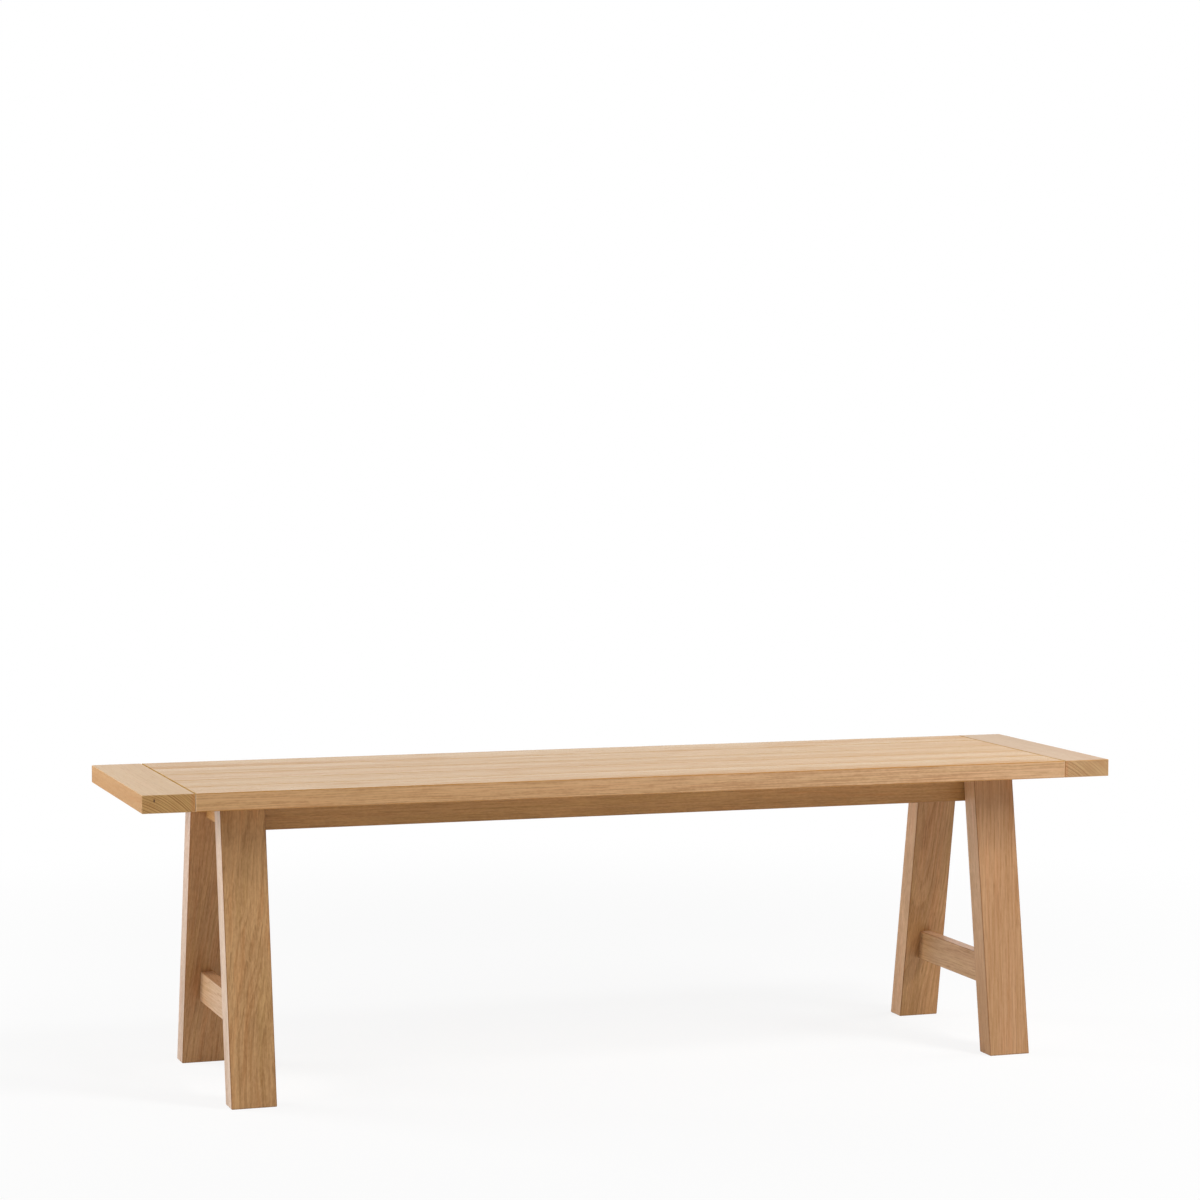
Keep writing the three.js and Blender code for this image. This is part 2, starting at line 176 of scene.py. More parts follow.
# What the parts of the figure are painted or tinted with
WARM_TINT = (1.00, 0.92, 0.86, 1)
OLIVE_TINT = (0.97, 0.98, 0.92, 1)
DRIFT_TINT = (0.80, 0.78, 0.72, 1)
DEEP_SIDE_TINT = (0.74, 0.66, 0.58, 1)
STAIN_TINT = (1.00, 0.86, 0.82, 1)
PORE_COLOUR = (0.20, 0.09, 0.03, 1)
END_GRAIN_COLOUR = (0.25, 0.105, 0.034, 1)
END_RING_COLOUR = (0.22, 0.075, 0.015, 1)
SEAM_COLOUR = (0.46, 0.23, 0.012, 1)
KNOT_COLOUR = (0.06, 0.015, 0.005, 1)
FLECK_SHARE = 0.12
END_LINE_SHARE = 0.80
SEAM_SHARE = 0.90

# The depth of tone goes from 0, pale, to 1, deep. Rings darken the wood where they are above their mean.
MIDDLE_DEPTH = 0.42
MEAN_RING = 0.25
END_RING_GAIN = 0.9

# What the parts of the figure add to the roughness and to the height of the surface
PORE_ROUGHNESS = 0.12
END_GRAIN_ROUGHNESS = 0.16
SEAM_ROUGHNESS = 0.25
PORE_HEIGHT = -0.8
RING_HEIGHT = -0.25
FIBRE_HEIGHT = 0.15

# How much of a normal lies along one axis of the piece where a face turns into end grain, into a narrow
# face, from flat into rounded, and from a long arris into one round the end
END_GRAIN_TURN = (0.50, 0.85)
NARROW_TURN = (0.80, 0.98)
ROUNDED_TURN = (0.995, 0.965)
ENDWISE_TURN = (0.30, 0.60)


def make_oak_figure():
    """The figure of ring-porous oak through the whole piece, in metres. The pith is the log's middle."""
    tree, given, out = new_group("oak_figure", [
        ("Place", VECTOR, None), ("Pith", VECTOR, (0, 0.02, -0.12)), ("Sample", VECTOR, (0, 0, 0)),
        ("Ring Spacing", FLOAT, 0.0035), ("Waviness", FLOAT, 0.006),
    ], [(name, FLOAT) for name in FIGURE_MASKS])
    place = given["Place"]
    sampled = vectors(tree, "ADD", place, given["Sample"])

    slow = vectors(tree, "SUBTRACT", cloud(tree, sampled, SLOW_SWAY_CYCLES)["Color"], (0.5, 0.5, 0.5))
    slow = add(tree, "ShaderNodeVectorMath", {0: slow, "Scale": given["Waviness"]}, operation="SCALE")
    quick = vectors(tree, "SUBTRACT", cloud(tree, sampled, QUICK_SWAY_CYCLES)["Color"], (0.5, 0.5, 0.5))
    quick = vectors(tree, "MULTIPLY", quick, QUICK_SWAY)
    sway = vectors(tree, "ADD", slow.outputs[0], quick)
    from_pith = vectors(tree, "SUBTRACT", vectors(tree, "ADD", place, sway), given["Pith"])
    parts = add(tree, "ShaderNodeSeparateXYZ", {0: from_pith}).outputs
    y_squared = maths(tree, "MULTIPLY", parts["Y"], parts["Y"])
    radius = maths(tree, "SQRT", maths(tree, "MULTIPLY_ADD", parts["Z"], parts["Z"], y_squared))
    angle = maths(tree, "ARCTAN2", parts["Z"], parts["Y"])

    years = maths(tree, "DIVIDE", radius, given["Ring Spacing"])
    weather = add(tree, "ShaderNodeTexNoise", {
        "W": maths(tree, "MULTIPLY", years, WEATHER_CYCLES), "Scale": 1.0, "Detail": 1.0,
    }, noise_dimensions="1D")
    phase = maths(tree, "MULTIPLY_ADD", weather.outputs[0], WEATHER_SHIFT, years)
    season = maths(tree, "FRACT", phase)
    fading = ramp(tree, season, *EARLY_WOOD_FADES, 1.0, 0.0)
    early = maths(tree, "MAXIMUM", fading, ramp(tree, season, *EARLY_WOOD_COMES))
    year = add(tree, "ShaderNodeTexWhiteNoise", {
        "W": maths(tree, "FLOOR", phase)}, noise_dimensions="1D").outputs["Value"]
    strength = maths(tree, "MULTIPLY_ADD", year, 1 - FAINTEST_YEAR, FAINTEST_YEAR)
    rings = maths(tree, "MULTIPLY", early, strength, clamp=True)
    tree.links.new(rings, out["Rings"])

    swayed = vectors(tree, "ADD", sampled, sway)
    pore = ramp(tree, cloud(tree, swayed, PORE_CYCLES, detail=1.0)["Fac"], *PORE_SPAN)
    crowding = maths(tree, "MULTIPLY_ADD", rings, 1 - LATE_WOOD_PORES, LATE_WOOD_PORES)
    tree.links.new(maths(tree, "MULTIPLY", pore, crowding, clamp=True), out["Pores"])

    around = maths(tree, "MULTIPLY", angle, radius)
    ray_place = add(tree, "ShaderNodeCombineXYZ", {"X": parts["X"], "Y": around, "Z": radius}).outputs[0]
    ray = cloud(tree, ray_place, RAY_CYCLES)["Fac"]
    tree.links.new(ramp(tree, ray, *RAY_SPAN), out["Flecks"])

    tree.links.new(cloud(tree, swayed, STREAK_CYCLES)["Fac"], out["Streaks"])
    tree.links.new(cloud(tree, swayed, FIBRE_CYCLES, detail=2.5, roughness=0.66)["Fac"], out["Fibre"])
    tree.links.new(cloud(tree, swayed, DASH_CYCLES, detail=1.5, roughness=0.6)["Fac"], out["Dashes"])
    tree.links.new(cloud(tree, swayed, WARMTH_CYCLES, roughness=0.6)["Color"], out["Warmth"])
    tree.links.new(cloud(tree, swayed, DRIFT_CYCLES)["Fac"], out["Drift"])
    return tree


def make_oak_tone():
    """Colour, roughness and surface height of lacquered oak, from its figure, with a painted shade along its
    arrises and a painted highlight round its ends.
    """
    tree, given, out = new_group("oak_tone", [
        *((name, FLOAT, 0.5) for name in FIGURE_MASKS), *((name, FLOAT, 0.0) for name in CUT_NAMES),
        ("Seam", FLOAT, 0.0), ("Stain", FLOAT, 0.0), ("Knot", FLOAT, 0.0), ("Contrast", FLOAT, 1.0),
        ("Ring Share", FLOAT, 0.40), ("Fibre Share", FLOAT, 0.45), ("Dash Share", FLOAT, 0.45),
        ("Drift Share", FLOAT, 0.3), ("Warmth Share", FLOAT, 1.0), ("Pore Share", FLOAT, 0.45),
        ("Streak Share", FLOAT, 0.24),
        ("Pale", COLOUR, (0.62, 0.40, 0.21, 1)), ("Deep", COLOUR, (0.42, 0.24, 0.11, 1)),
        ("Side", COLOUR, (0.50, 0.30, 0.15, 1)), ("Side Share", FLOAT, 0.0),
        # Painted shade: a darker colour on the rounded arrises along the grain, where they turn away from
        # the light
        ("Arris Shade", COLOUR, (0.42, 0.20, 0.06, 1)), ("Arris Shade Share", FLOAT, 0.3),
        # Painted highlight: a pale colour on the arrises round a piece's ends, for the chamfers at the
        # seat's end joints that face the left lamps
        ("End Arris Light", COLOUR, (0.96, 0.74, 0.48, 1)), ("End Arris Light Share", FLOAT, 0.0),
        ("End Grain Share", FLOAT, 0.22), ("End Ring Share", FLOAT, 1.0),
        ("Base Roughness", FLOAT, 0.40), ("Figure Roughness", FLOAT, 0.10), ("Side Roughness", FLOAT, 0.0),
    ], [("Color", COLOUR), ("Roughness", FLOAT), ("Height", FLOAT)])

    def centred(mask):
        half = HALF_SPANS[mask]
        return ramp(tree, given[mask], 0.5 - half, 0.5 + half, -0.5, 0.5)

    dash_share = maths(tree, "MULTIPLY", given["Dash Share"], maths(tree, "ADD", given["Narrow"], 1.0))
    end_rings = maths(tree, "MULTIPLY", given["End Grain"], given["End Ring Share"])
    ring_share = maths(tree, "MULTIPLY_ADD", end_rings, END_RING_GAIN, given["Ring Share"])
    depth = maths(tree, "MULTIPLY", centred("Streaks"), given["Streak Share"])
    depth = maths(tree, "MULTIPLY_ADD", centred("Fibre"), given["Fibre Share"], depth)
    depth = maths(tree, "MULTIPLY_ADD", centred("Dashes"), dash_share, depth)
    above_mean = maths(tree, "SUBTRACT", given["Rings"], MEAN_RING)
    depth = maths(tree, "MULTIPLY_ADD", above_mean, ring_share, depth)
    depth = maths(tree, "MULTIPLY_ADD", depth, given["Contrast"], MIDDLE_DEPTH, clamp=True)

    side = maths(tree, "MULTIPLY", given["Narrow"], given["Side Share"])
    pale = blend(tree, side, given["Pale"], given["Side"])
    deep_side = blend(tree, 1.0, given["Side"], DEEP_SIDE_TINT, way="MULTIPLY")
    deep = blend(tree, side, given["Deep"], deep_side)
    body = blend(tree, depth, pale, deep)
    warm = maths(tree, "MULTIPLY", ramp(tree, given["Warmth"], *WARM_SPAN), given["Warmth Share"])
    body = blend(tree, warm, body, WARM_TINT, way="MULTIPLY")
    olive = maths(tree, "MULTIPLY", ramp(tree, given["Warmth"], *OLIVE_SPAN), given["Warmth Share"])
    body = blend(tree, olive, body, OLIVE_TINT, way="MULTIPLY")
    drift = maths(tree, "MULTIPLY", ramp(tree, given["Drift"], *DRIFT_SPAN), given["Drift Share"])
    body = blend(tree, drift, body, DRIFT_TINT, way="MULTIPLY")
    body = blend(tree, maths(tree, "MULTIPLY", given["Flecks"], FLECK_SHARE), body, pale)
    body = blend(tree, maths(tree, "MULTIPLY", given["Pores"], given["Pore Share"]), body, PORE_COLOUR)
    end_share = maths(tree, "MULTIPLY", given["End Grain"], given["End Grain Share"])
    body = blend(tree, end_share, body, END_GRAIN_COLOUR)
    end_line = maths(tree, "MULTIPLY", end_rings, given["Rings"])
    body = blend(tree, maths(tree, "MULTIPLY", end_line, END_LINE_SHARE), body, END_RING_COLOUR)
    body = blend(tree, given["Stain"], body, STAIN_TINT, way="MULTIPLY")
    # Painted shade along the arrises
    arris_shade = maths(tree, "MULTIPLY", given["Arris"], given["Arris Shade Share"])
    body = blend(tree, arris_shade, body, given["Arris Shade"])
    # Painted highlight on the arrises round the ends
    end_arris_light = maths(tree, "MULTIPLY", given["End Arris"], given["End Arris Light Share"])
    body = blend(tree, end_arris_light, body, given["End Arris Light"])
    body = blend(tree, maths(tree, "MULTIPLY", given["Seam"], SEAM_SHARE), body, SEAM_COLOUR)
    body = blend(tree, given["Knot"], body, KNOT_COLOUR)
    tree.links.new(body, out["Color"])

    rough = maths(tree, "MULTIPLY_ADD", given["Pores"], PORE_ROUGHNESS, given["Base Roughness"])
    from_middle = maths(tree, "SUBTRACT", depth, MIDDLE_DEPTH)
    rough = maths(tree, "MULTIPLY_ADD", from_middle, given["Figure Roughness"], rough)
    rough = maths(tree, "MULTIPLY_ADD", given["End Grain"], END_GRAIN_ROUGHNESS, rough)
    rough = maths(tree, "MULTIPLY_ADD", given["Seam"], SEAM_ROUGHNESS, rough)
    rough = maths(tree, "MULTIPLY_ADD", given["Narrow"], given["Side Roughness"], rough, clamp=True)
    tree.links.new(rough, out["Roughness"])

    height = maths(tree, "MULTIPLY", given["Pores"], PORE_HEIGHT)
    height = maths(tree, "MULTIPLY_ADD", given["Rings"], RING_HEIGHT, height)
    height = maths(tree, "MULTIPLY_ADD", given["Fibre"], FIBRE_HEIGHT, height)
    tree.links.new(height, out["Height"])
    return tree


def make_cut_masks():
    """End Grain is 1 where a face is cut across the grain, Narrow is 1 on a piece's narrow faces, Arris is 1
    on the rounded edges along the grain, and End Arris on those round the ends."""
    masks = [(name, FLOAT) for name in CUT_NAMES]
    tree, given, out = new_group("cut_masks", [("Normal", VECTOR, (0, 0, 1))], masks)
    facing = add(tree, "ShaderNodeSeparateXYZ", {0: vectors(tree, "ABSOLUTE", given["Normal"])}).outputs
    tree.links.new(ramp(tree, facing["X"], *END_GRAIN_TURN), out["End Grain"])
    tree.links.new(ramp(tree, facing["Y"], *NARROW_TURN), out["Narrow"])
    most = maths(tree, "MAXIMUM", facing["X"], maths(tree, "MAXIMUM", facing["Y"], facing["Z"]))
    rounded = ramp(tree, most, *ROUNDED_TURN)
    endwise = ramp(tree, facing["X"], *ENDWISE_TURN)
    tree.links.new(maths(tree, "MULTIPLY", rounded, maths(tree, "SUBTRACT", 1.0, endwise)), out["Arris"])
    tree.links.new(maths(tree, "MULTIPLY", rounded, endwise), out["End Arris"])
    return tree


OAK_FIGURE = make_oak_figure()
OAK_TONE = make_oak_tone()
CUT_MASKS = make_cut_masks()


# Oak. Each piece is sawn from its own part of a log. The pith is in metres from the middle of the piece,
# across its wide face and into it. The slant turns the grain in the wide face, and the taper tips it into
# that face, both in degrees. The spacing of the rings and their waviness are in millimetres.

# The finish of a piece: its pale and deep wood, its narrow faces and their share, its arrises and theirs,
# and how strongly each part of the figure shows. The arrises' colours are painted shade along the grain and
# a painted highlight round the ends, and some pieces' narrow-face colours carry painted light or shade.
SEAT_FINISH = {
    "Pale": (0.704, 0.430, 0.164, 1), "Deep": (0.525, 0.252, 0.053, 1),
    # Painted shade along the boards' arrises, and a painted highlight round their ends
    "Arris Shade": (0.560, 0.270, 0.075, 1), "Arris Shade Share": 0.65, "End Arris Light Share": 0.30,
    "Ring Share": 0.32, "Fibre Share": 0.50, "Dash Share": 0.14, "Drift Share": 0.12, "Warmth Share": 0.9,
    "Pore Share": 0.20, "Streak Share": 0.40,
    "Base Roughness": 0.32, "Figure Roughness": 0.15,
}
OUTER_BOARD_FINISH = {
    **SEAT_FINISH, "Side": (0.688, 0.412, 0.210, 1), "Side Share": 1.0, "Side Roughness": 0.20,
    # A darker painted shade along the outer boards' arrises
    "Arris Shade": (0.500, 0.215, 0.030, 1), "Arris Shade Share": 0.90, "Contrast": 1.35, "Ring Share": 0.42,
    "Fibre Share": 0.62, "Warmth Share": 0.6,
}
# The front board's end arrises carry the painted highlight nearly in full, the lit line beside the left end
# joint
FRONT_BOARD_FINISH = {**OUTER_BOARD_FINISH, "Side": (0.703, 0.435, 0.237, 1), "End Arris Light Share": 0.95}
LEFT_END_FINISH = {
    **SEAT_FINISH, "Pale": (0.704, 0.424, 0.151, 1), "Deep": (0.480, 0.246, 0.067, 1),
    "Side": (0.436, 0.247, 0.107, 1), "Side Share": 0.95, "Side Roughness": 0.35, "Arris Shade Share": 0.08,
    "End Arris Light Share": 0.05, "Ring Share": 0.06, "Fibre Share": 0.18, "Dash Share": 0.12,
    "Streak Share": 0.24, "Figure Roughness": 0.08, "Warmth Share": 0.6, "Pore Share": 0.12,
    "End Grain Share": 0.24,
}
RIGHT_END_FINISH = {
    **LEFT_END_FINISH, "Pale": (0.622, 0.402, 0.196, 1), "Deep": (0.436, 0.232, 0.096, 1),
    # On the right breadboard end the painted highlight is orange, on the chamfer at the joint that faces the
    # left lamps
    "End Arris Light": (0.600, 0.300, 0.100, 1), "End Arris Light Share": 0.5, "End Grain Share": 0.10,
    "End Ring Share": 0.70,
}
RAIL_FINISH = {
    "Pale": (0.629, 0.358, 0.140, 1), "Deep": (0.387, 0.190, 0.060, 1),
    # The rails', legs' and stretchers' arrises take a dark painted shade
    "Arris Shade": (0.220, 0.088, 0.022, 1), "Arris Shade Share": 0.60,
    "Ring Share": 0.14, "Fibre Share": 0.30, "Dash Share": 0.24, "Drift Share": 0.30,
    "Base Roughness": 0.40,
}
LEG_FINISH = {
    **RAIL_FINISH, "Ring Share": 0.40, "Fibre Share": 0.36, "Dash Share": 0.26, "Drift Share": 0.55,
    "Side Share": 1.0,
}
NEAR_LEFT_LEG_FINISH = {
    **LEG_FINISH, "Pale": (0.627, 0.365, 0.165, 1), "Deep": (0.368, 0.181, 0.065, 1),
    "Side": (0.571, 0.421, 0.313, 1), "Ring Share": 0.38, "Dash Share": 0.24,
}
FAR_LEFT_LEG_FINISH = {
    **LEG_FINISH, "Pale": (0.563, 0.314, 0.140, 1), "Deep": (0.337, 0.159, 0.055, 1),
    "Side": (0.530, 0.380, 0.284, 1), "Ring Share": 0.26,
}
# The near right leg's Side colour is its own pale narrow-face tone lifted by painted light, which lightens
# the top of that face in the seat's shade
NEAR_RIGHT_LEG_FINISH = {
    **LEG_FINISH, "Pale": (0.575, 0.330, 0.175, 1), "Deep": (0.385, 0.187, 0.070, 1),
    "Side": (0.775, 0.515, 0.315, 1), "Ring Share": 0.28, "Fibre Share": 0.44, "Dash Share": 0.12,
    "Drift Share": 0.20, "Warmth Share": 0.6,
}
FAR_RIGHT_LEG_FINISH = {
    **LEG_FINISH, "Pale": (0.612, 0.345, 0.155, 1), "Deep": (0.375, 0.179, 0.061, 1),
    "Side": (0.645, 0.390, 0.214, 1), "Ring Share": 0.32, "Dash Share": 0.18,
}
STRETCHER_FINISH = {**LEG_FINISH, "Ring Share": 0.28, "Dash Share": 0.16, "Drift Share": 0.30}
# Painted light: the stretchers' Side colour goes on their top and bottom faces, paler than their fronts, for
# the light from above
LEFT_STRETCHER_FINISH = {
    **STRETCHER_FINISH, "Pale": (0.539, 0.350, 0.210, 1), "Deep": (0.380, 0.221, 0.110, 1),
    "Side": (0.580, 0.350, 0.200, 1),
}
# Painted light on the right stretcher's top face as well, in its Side colour
RIGHT_STRETCHER_FINISH = {
    **STRETCHER_FINISH, "Pale": (0.540, 0.330, 0.172, 1), "Deep": (0.350, 0.183, 0.080, 1),
    "Side": (0.640, 0.420, 0.270, 1),
}

# Painted shade on the narrow faces of two pieces, what they come to where less light falls: at the left end
# of the front board, and at the foot of the near right leg
FRONT_BOARD_LEFT_SHADE = (0.692, 0.401, 0.183, 1)
FRONT_BOARD_SHADE_REACH = 0.70
NEAR_RIGHT_LEG_FOOT_SHADE = (0.430, 0.230, 0.095, 1)
FOOT_SHADE_REACH = 0.26

RELIEF_DEPTH = 0.15 * MM
RELIEF_STRENGTH = 0.5


def new_material(name):
    material = bpy.data.materials.new(name)
    material.use_nodes = True
    tree = material.node_tree
    tree.nodes.clear()
    surface = add(tree, "ShaderNodeBsdfPrincipled")
    output = add(tree, "ShaderNodeOutputMaterial")
    tree.links.new(surface.outputs[0], output.inputs["Surface"])
    return material, tree, surface


def from_end_joint(tree, x):
    return maths(tree, "ABSOLUTE", maths(tree, "SUBTRACT", maths(tree, "ABSOLUTE", x), END_JOINT_X))


def end_joint_line(tree, coordinates):
    """The golden line of finish in the groove where the boards meet a breadboard end, on the top and the
    underside."""
    place = add(tree, "ShaderNodeSeparateXYZ", {0: coordinates["Object"]}).outputs
    facing = add(tree, "ShaderNodeSeparateXYZ", {0: coordinates["Normal"]}).outputs
    line = ramp(tree, from_end_joint(tree, place["X"]), END_LINE_GONE, END_LINE_FULL)
    upright = ramp(tree, maths(tree, "ABSOLUTE", facing["Z"]), 0.3, 0.6)
    return maths(tree, "MULTIPLY", line, upright)


def end_joint_stain(tree, coordinates):
    """The warmer strip beside an end joint, where the finish soaks into the end grain. It shows on the front
    and the back."""
    place = add(tree, "ShaderNodeSeparateXYZ", {0: coordinates["Object"]}).outputs
    strip = ramp(tree, from_end_joint(tree, place["X"]), END_STAIN_GONE, END_STAIN_FULL)
    y = maths(tree, "ABSOLUTE", place["Y"])
    return maths(tree, "MULTIPLY", strip, ramp(tree, y, SEAT_HALF_DEPTH - 3 * MM, SEAT_HALF_DEPTH - 1 * MM))


def board_joint_line(tree, coordinates):
    """The golden line of finish in the grooves between the seat boards. The seat's edges have none."""
    y = add(tree, "ShaderNodeSeparateXYZ", {0: coordinates["Object"]}).outputs["Y"]
    distance = maths(tree, "SUBTRACT", BOARD_HALF_WIDTH, maths(tree, "PINGPONG", y, BOARD_HALF_WIDTH))
    inside = ramp(tree, maths(tree, "ABSOLUTE", y), SEAT_HALF_DEPTH - 10 * MM, SEAT_HALF_DEPTH - 20 * MM)
    line = maths(tree, "MULTIPLY", ramp(tree, distance, BOARD_LINE_GONE, BOARD_LINE_FULL), BOARD_LINE_SHARE)
    return maths(tree, "MULTIPLY", line, inside)


def board_seam(tree, coordinates):
    return maths(tree, "MAXIMUM", end_joint_line(tree, coordinates), board_joint_line(tree, coordinates))


def pin_knot(tree, coordinates):
    """The small dark knot in the front of the left breadboard end."""
    low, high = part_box("breadboard_end_left")
    place = Vector((low.x + KNOT_FROM_END, low.y, high.z - KNOT_UNDER_TOP))
    away = vectors(tree, "DIVIDE", vectors(tree, "SUBTRACT", coordinates["Object"], place), KNOT_HALF_SIZE)
    return ramp(tree, measure(tree, "LENGTH", away), 1.2, 0.6)


def oak(node, along, face, pith, look, sample=0.0, slant=0.0, taper=0.0, spacing=3.5, wave=6.0, seam=None,
        stain=None, knot=None, shade_start=None, shade_reach=FOOT_SHADE_REACH):
    """Lacquered oak for one piece, whose wide face looks along the face vector. The shade start colour is a
    painted shade that its narrow faces come to at the low or the left end, where they take less light than
    at the other end. It fades out over the shade reach to both sides of the piece's middle."""
    material, tree, surface = new_material(f"oak_{node}")
    low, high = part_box(node)
    square = Matrix((along, face.cross(along), face)).to_3x3()
    slanted = Matrix.Rotation(math.radians(slant), 3, "Z") @ square
    turn = Matrix.Rotation(math.radians(taper), 3, "Y") @ slanted
    coordinates = add(tree, "ShaderNodeTexCoord").outputs
    place = add(tree, "ShaderNodeMapping", {
        "Vector": coordinates["Object"], "Location": -(turn @ ((low + high) / 2)),
        "Rotation": turn.to_euler()}, vector_type="POINT").outputs[0]
    normal = add(tree, "ShaderNodeMapping", {
        "Vector": coordinates["Normal"], "Rotation": square.to_euler()}, vector_type="VECTOR").outputs[0]
    figure = use_group(tree, OAK_FIGURE, {
        "Place": place, "Pith": (0, *pith), "Sample": (sample, 0.37 * sample, 0),
        "Ring Spacing": spacing * MM, "Waviness": wave * MM})
    masks = use_group(tree, CUT_MASKS, {"Normal": normal})
    # Painted shade on the narrow faces: darker at the low or left end, fading into the Side colour
    if shade_start:
        along_piece = add(tree, "ShaderNodeSeparateXYZ", {0: place}).outputs["X"]
        look = {**look, "Side": blend(tree, ramp(tree, along_piece, -shade_reach, shade_reach), shade_start, look["Side"])}
    marks = {"Seam": seam, "Stain": stain, "Knot": knot}
    tone = use_group(tree, OAK_TONE, {
        **{name: figure[name] for name in FIGURE_MASKS}, **{name: masks[name] for name in CUT_NAMES}, **look,
        **{name: mark(tree, coordinates) for name, mark in marks.items() if mark},
    })
    tree.links.new(tone["Color"], surface.inputs["Base Color"])
    tree.links.new(tone["Roughness"], surface.inputs["Roughness"])
    relief = add(tree, "ShaderNodeBump", {
        "Strength": RELIEF_STRENGTH, "Distance": RELIEF_DEPTH, "Height": tone["Height"]})
    tree.links.new(relief.outputs[0], surface.inputs["Normal"])
    finish(node, material)
    return surface


def finish(node, material):
    piece = frame["nodes"][node]
    piece.data.materials.clear()
    piece.data.materials.append(material)


def matte(surface):
    """Wood under the seat mirrors less of the studio."""
    surface.inputs["Specular IOR Level"].default_value = UNDER_SEAT_SPECULAR


def finish_seat():
    boards = [
        # The front board's front face carries a painted shade towards its left end
        dict(
            pith=(-0.020, -0.110), look=FRONT_BOARD_FINISH, shade_start=FRONT_BOARD_LEFT_SHADE,
            shade_reach=FRONT_BOARD_SHADE_REACH),
        dict(pith=(0.045, -0.090), look=SEAT_FINISH),
        dict(pith=(-0.060, -0.130), look=SEAT_FINISH),
        dict(pith=(0.030, -0.100), look=SEAT_FINISH),
        dict(pith=(0.010, -0.120), look=OUTER_BOARD_FINISH),
    ]
    for i, board in enumerate(boards, 1):
        oak(f"seat_board_{i}", ALONG_BENCH, UP, sample=1.7 * i, taper=0.2, seam=board_seam, **board)
    oak("breadboard_end_left", ACROSS_BENCH, UP, (0.090, -0.130), LEFT_END_FINISH, sample=11.3,
        spacing=3.0, seam=end_joint_line, stain=end_joint_stain, knot=pin_knot)
    oak("breadboard_end_right", ACROSS_BENCH, UP, (0.140, -0.180), RIGHT_END_FINISH, sample=13.9,
        spacing=3.0, seam=end_joint_line, stain=end_joint_stain)


def finish_trestles():
    cuts = {
        "leg_left_front": dict(
            pith=(0.045, -0.070), sample=33.3, slant=4.0, taper=2.5, spacing=4.5, wave=50.0,
            look=NEAR_LEFT_LEG_FINISH),
        "leg_left_back": dict(
            pith=(-0.040, -0.060), sample=23.7, slant=-5.0, taper=1.5, spacing=4.0, wave=22.0,
            look=FAR_LEFT_LEG_FINISH),
        # The near right leg's narrow faces carry a painted shade towards its foot
        "leg_right_front": dict(
            pith=(0.110, -0.080), sample=49.9, slant=3.0, taper=1.0, spacing=4.8, wave=7.0,
            look=NEAR_RIGHT_LEG_FINISH, shade_start=NEAR_RIGHT_LEG_FOOT_SHADE),
        "leg_right_back": dict(
            pith=(-0.020, -0.060), sample=50.9, slant=-3.0, taper=2.5, spacing=4.5, wave=30.0,
            look=FAR_RIGHT_LEG_FINISH),
    }
    for name, cut in cuts.items():
        way = -1 if name.endswith("front") else 1
        along = Vector((0, -way * math.sin(LEG_LEAN), math.cos(LEG_LEAN)))
        face = Vector((0, way * math.cos(LEG_LEAN), math.sin(LEG_LEAN)))
        matte(oak(name, along, face, **cut))
    stretcher_looks = {"left": LEFT_STRETCHER_FINISH, "right": RIGHT_STRETCHER_FINISH}
    for i, (side, look) in enumerate(stretcher_looks.items()):
        matte(oak(
            f"top_rail_{side}", ACROSS_BENCH, ALONG_BENCH, (0.03, -0.05), RAIL_FINISH, sample=31.3 + i))
        matte(oak(
            f"stretcher_{side}", ACROSS_BENCH, ALONG_BENCH, (0.02, -0.04), look, sample=35.3 + i, taper=1.5))


def finish_long_rails():
    for i, (side, face) in enumerate((("front", -ACROSS_BENCH), ("back", ACROSS_BENCH))):
        matte(oak(
            f"long_rail_{side}", ALONG_BENCH, face, (0.03, -0.05), RAIL_FINISH, sample=41.9 + 2 * i,
            taper=0.3))


# Fixings

BEECH_CYCLES = (160.0, 160.0, 900.0)
BEECH_PALE, BEECH_DEEP = (0.62, 0.42, 0.24, 1), (0.50, 0.31, 0.16, 1)
ZINC_CYCLES = (220.0, 220.0, 220.0)
ZINC_DARK, ZINC_PALE = (0.50, 0.51, 0.53, 1), (0.66, 0.67, 0.68, 1)


def make_beech():
    material, tree, surface = new_material("beech")
    place = add(tree, "ShaderNodeTexCoord").outputs["Object"]
    share = ramp(tree, cloud(tree, place, BEECH_CYCLES)["Fac"], 0.35, 0.65)
    colour = blend(tree, share, BEECH_PALE, BEECH_DEEP)
    tree.links.new(colour, surface.inputs["Base Color"])
    surface.inputs["Roughness"].default_value = 0.6
    return material


def make_zinc():
    material, tree, surface = new_material("zinc_plate")
    place = add(tree, "ShaderNodeTexCoord").outputs["Object"]
    spangle = cloud(tree, place, ZINC_CYCLES, detail=3.0)["Fac"]
    colour = blend(tree, spangle, ZINC_DARK, ZINC_PALE)
    tree.links.new(colour, surface.inputs["Base Color"])
    tree.links.new(ramp(tree, spangle, 0.3, 0.7, 0.28, 0.42), surface.inputs["Roughness"])
    surface.inputs["Metallic"].default_value = 1.0
    return material


def finish_fixings():
    finishes = {"beech": make_beech(), "zinc_steel": make_zinc()}
    for entry in frame["record"]["subparts"]:
        if entry["material_slot"] in finishes:
            finish(entry["node"], finishes[entry["material_slot"]])


finish_seat()
finish_trestles()
finish_long_rails()
finish_fixings()


# Studio. Each softbox has its place, the point that it faces, its width and height, and its watts.

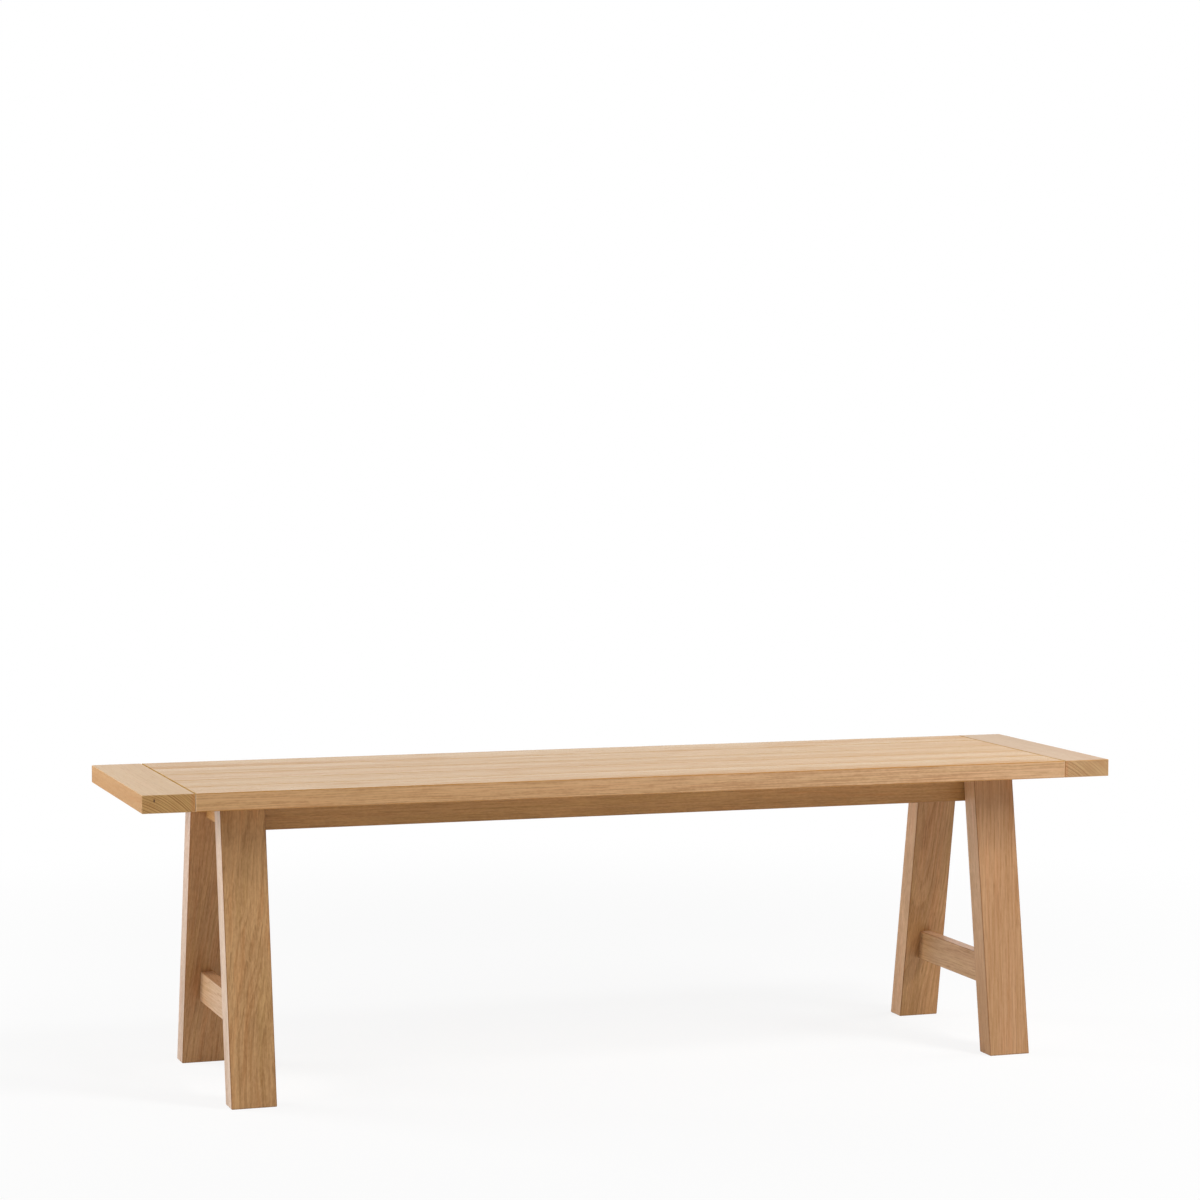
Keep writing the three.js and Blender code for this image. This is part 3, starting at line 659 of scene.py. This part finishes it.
SOFTBOXES = {
    "back_left_softbox": ((-2.8, 1.6, 1.2), (-0.6, 0, 0.3), 1.4, 1.4, 60),
    "left_softbox": ((-3.2, -0.4, 1.0), (-0.6, 0, 0.3), 1.6, 1.6, 31),
    "high_softbox": ((1.8, -1.8, 3.6), (0.7, 0, 0.3), 0.8, 0.8, 64),
    "front_right_softbox": ((2.2, -2.2, 2.4), (0.7, 0, 0.3), 1.0, 1.0, 43),
    "right_softbox": ((3.4, 0.0, 1.4), (0.6, 0, 0.3), 1.6, 1.6, 42),
}
WORLD_STRENGTH = 0.12
FLOOR_HALF_SIZE = 30.0
FLOOR_PAINT = (0.86, 0.86, 0.86, 1)

# The floor's share of plain white near the bench, and the distances between which it rises to all white
NEAR_WHITE = 0.86
WHITE_RISE_START, WHITE_RISE_END = 1.0, 2.6


def seen_directly(tree):
    """1 for the camera, for what a gloss mirrors, and for what is seen through something clear."""
    path = add(tree, "ShaderNodeLightPath").outputs
    seen = maths(tree, "MAXIMUM", path["Is Camera Ray"], path["Is Glossy Ray"])
    return maths(tree, "MAXIMUM", seen, path["Is Transmission Ray"])


def make_floor():
    half = FLOOR_HALF_SIZE
    mesh = bpy.data.meshes.new("floor")
    corners = [(-half, -half, 0), (half, -half, 0), (half, half, 0), (-half, half, 0)]
    mesh.from_pydata(corners, [], [(0, 1, 2, 3)])
    floor = bpy.data.objects.new("floor", mesh)
    bpy.context.scene.collection.objects.link(floor)
    material = bpy.data.materials.new("floor_white")
    material.use_nodes = True
    tree = material.node_tree
    tree.nodes.clear()
    paint = add(tree, "ShaderNodeBsdfDiffuse", {"Color": FLOOR_PAINT})
    glow = add(tree, "ShaderNodeEmission", {"Color": (1, 1, 1, 1), "Strength": 1.0})
    distance = measure(tree, "LENGTH", add(tree, "ShaderNodeTexCoord").outputs["Object"])
    white = ramp(tree, distance, WHITE_RISE_START, WHITE_RISE_END, NEAR_WHITE, 1.0)
    share = maths(tree, "MULTIPLY", seen_directly(tree), white)
    shader = add(tree, "ShaderNodeMixShader", {0: share, 1: paint.outputs[0], 2: glow.outputs[0]})
    output = add(tree, "ShaderNodeOutputMaterial")
    tree.links.new(shader.outputs[0], output.inputs["Surface"])
    mesh.materials.append(material)


def make_world():
    world = bpy.data.worlds.new("studio")
    bpy.context.scene.world = world
    world.use_nodes = True
    tree = world.node_tree
    tree.nodes.clear()
    strength = ramp(tree, seen_directly(tree), 0.0, 1.0, WORLD_STRENGTH, 1.0)
    sky = add(tree, "ShaderNodeBackground", {"Color": (1, 1, 1, 1), "Strength": strength})
    output = add(tree, "ShaderNodeOutputWorld")
    tree.links.new(sky.outputs[0], output.inputs["Surface"])


def make_softboxes():
    for name, (place, target, width, height, watts) in SOFTBOXES.items():
        lamp = bpy.data.lights.new(name, "AREA")
        lamp.shape = "RECTANGLE"
        lamp.size = width
        lamp.size_y = height
        lamp.energy = watts
        softbox = bpy.data.objects.new(name, lamp)
        softbox.location = place
        softbox.rotation_euler = (Vector(target) - Vector(place)).to_track_quat("-Z", "Y").to_euler()
        softbox.visible_glossy = False  # mirrored in the seat, a softbox would burn it out from the far end
        bpy.context.scene.collection.objects.link(softbox)


def make_camera():
    data = bpy.data.cameras.new("camera")
    data.sensor_width = SENSOR_MM
    data.lens = CAMERA_LENS_MM
    camera = bpy.data.objects.new("camera", data)
    turn = Euler((math.pi / 2 - CAMERA_PITCH, 0, -CAMERA_YAW)).to_matrix()
    turn = turn @ Matrix.Rotation(CAMERA_ROLL, 3, "Z")
    camera.matrix_world = Matrix.Translation(CAMERA_PLACE) @ turn.to_4x4()
    bpy.context.scene.collection.objects.link(camera)
    bpy.context.scene.camera = camera


make_floor()
make_world()
make_softboxes()
make_camera()
bpy.context.scene.view_settings.view_transform = "Standard"
